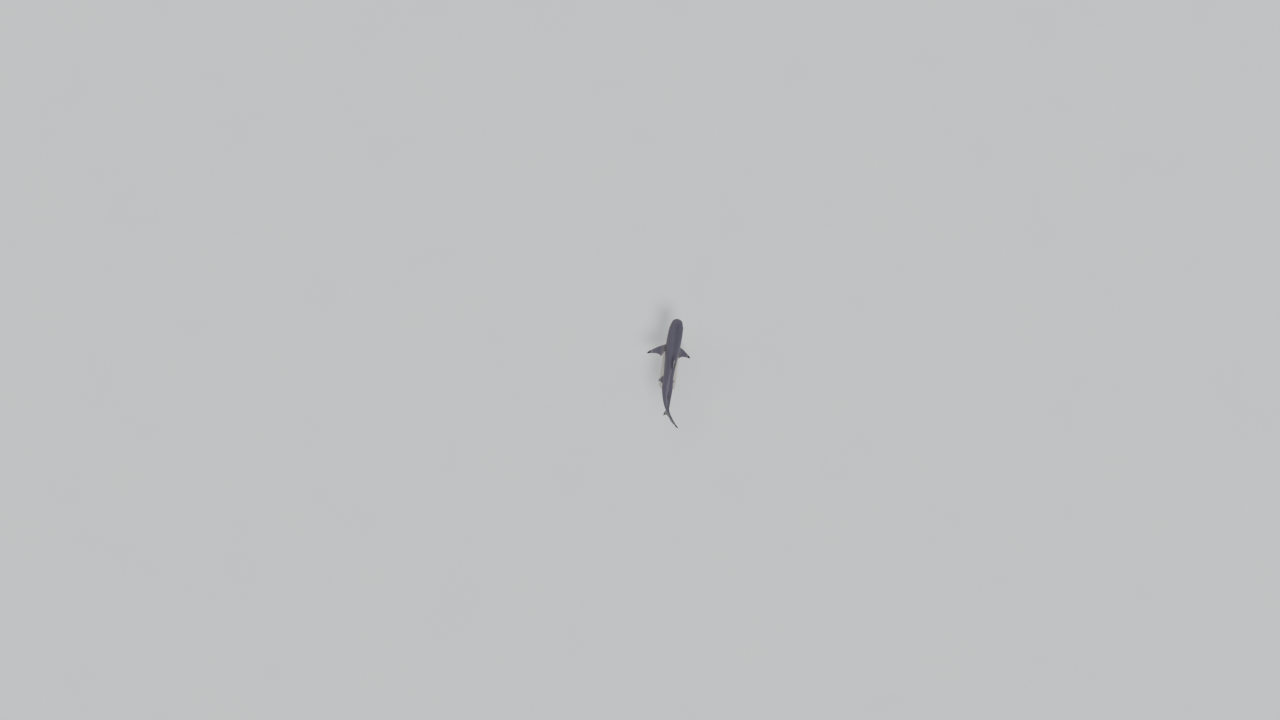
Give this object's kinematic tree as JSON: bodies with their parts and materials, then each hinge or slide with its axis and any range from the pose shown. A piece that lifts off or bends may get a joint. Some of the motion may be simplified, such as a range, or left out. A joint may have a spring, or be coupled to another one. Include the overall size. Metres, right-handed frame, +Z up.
{
  "type": "blacktip reef shark model",
  "caption": "Life-size still model of a small reef shark swimming in a gentle right turn, held on a low display stand by two rods.",
  "frame": {"origin": "on the floor under the middle of the bounding box", "axes": "+Z up, -Y the way the snout points, +X the shark's own left side"},
  "size_m": [0.4518, 1.1126, 0.5188],
  "materials": {
    "skin": "satin painted skin: dark purplish grey back, bronze-grey flanks with a pale band, white belly, black fin tips",
    "belly_skin": "satin painted skin, off-white",
    "eye": "polished, olive-gold iris with a dark upright slit pupil",
    "stand_paint": "fine-textured warm grey powder coat",
    "stand_metal": "brushed"
  },
  "bodies": {
    "root": {"snout": "skin", "head": "skin", "lower_jaw": "belly_skin", "gill_region": "skin", "fore_trunk": "skin", "rear_trunk": "skin", "tail_stem": "skin", "caudal_upper_lobe": "skin", "caudal_lower_lobe": "skin", "first_dorsal_fin": "skin", "second_dorsal_fin": "skin", "anal_fin": "skin", "pectoral_fin_left": "skin", "pectoral_fin_right": "skin", "pelvic_fin_left": "skin", "pelvic_fin_right": "skin", "eye_left": "eye", "eye_right": "eye", "stand_base": "stand_paint", "stand_rod_front": "stand_metal", "stand_rod_rear": "stand_metal", "stand_collar_front": "stand_metal", "stand_collar_rear": "stand_metal"}
  },
  "joints": []
}
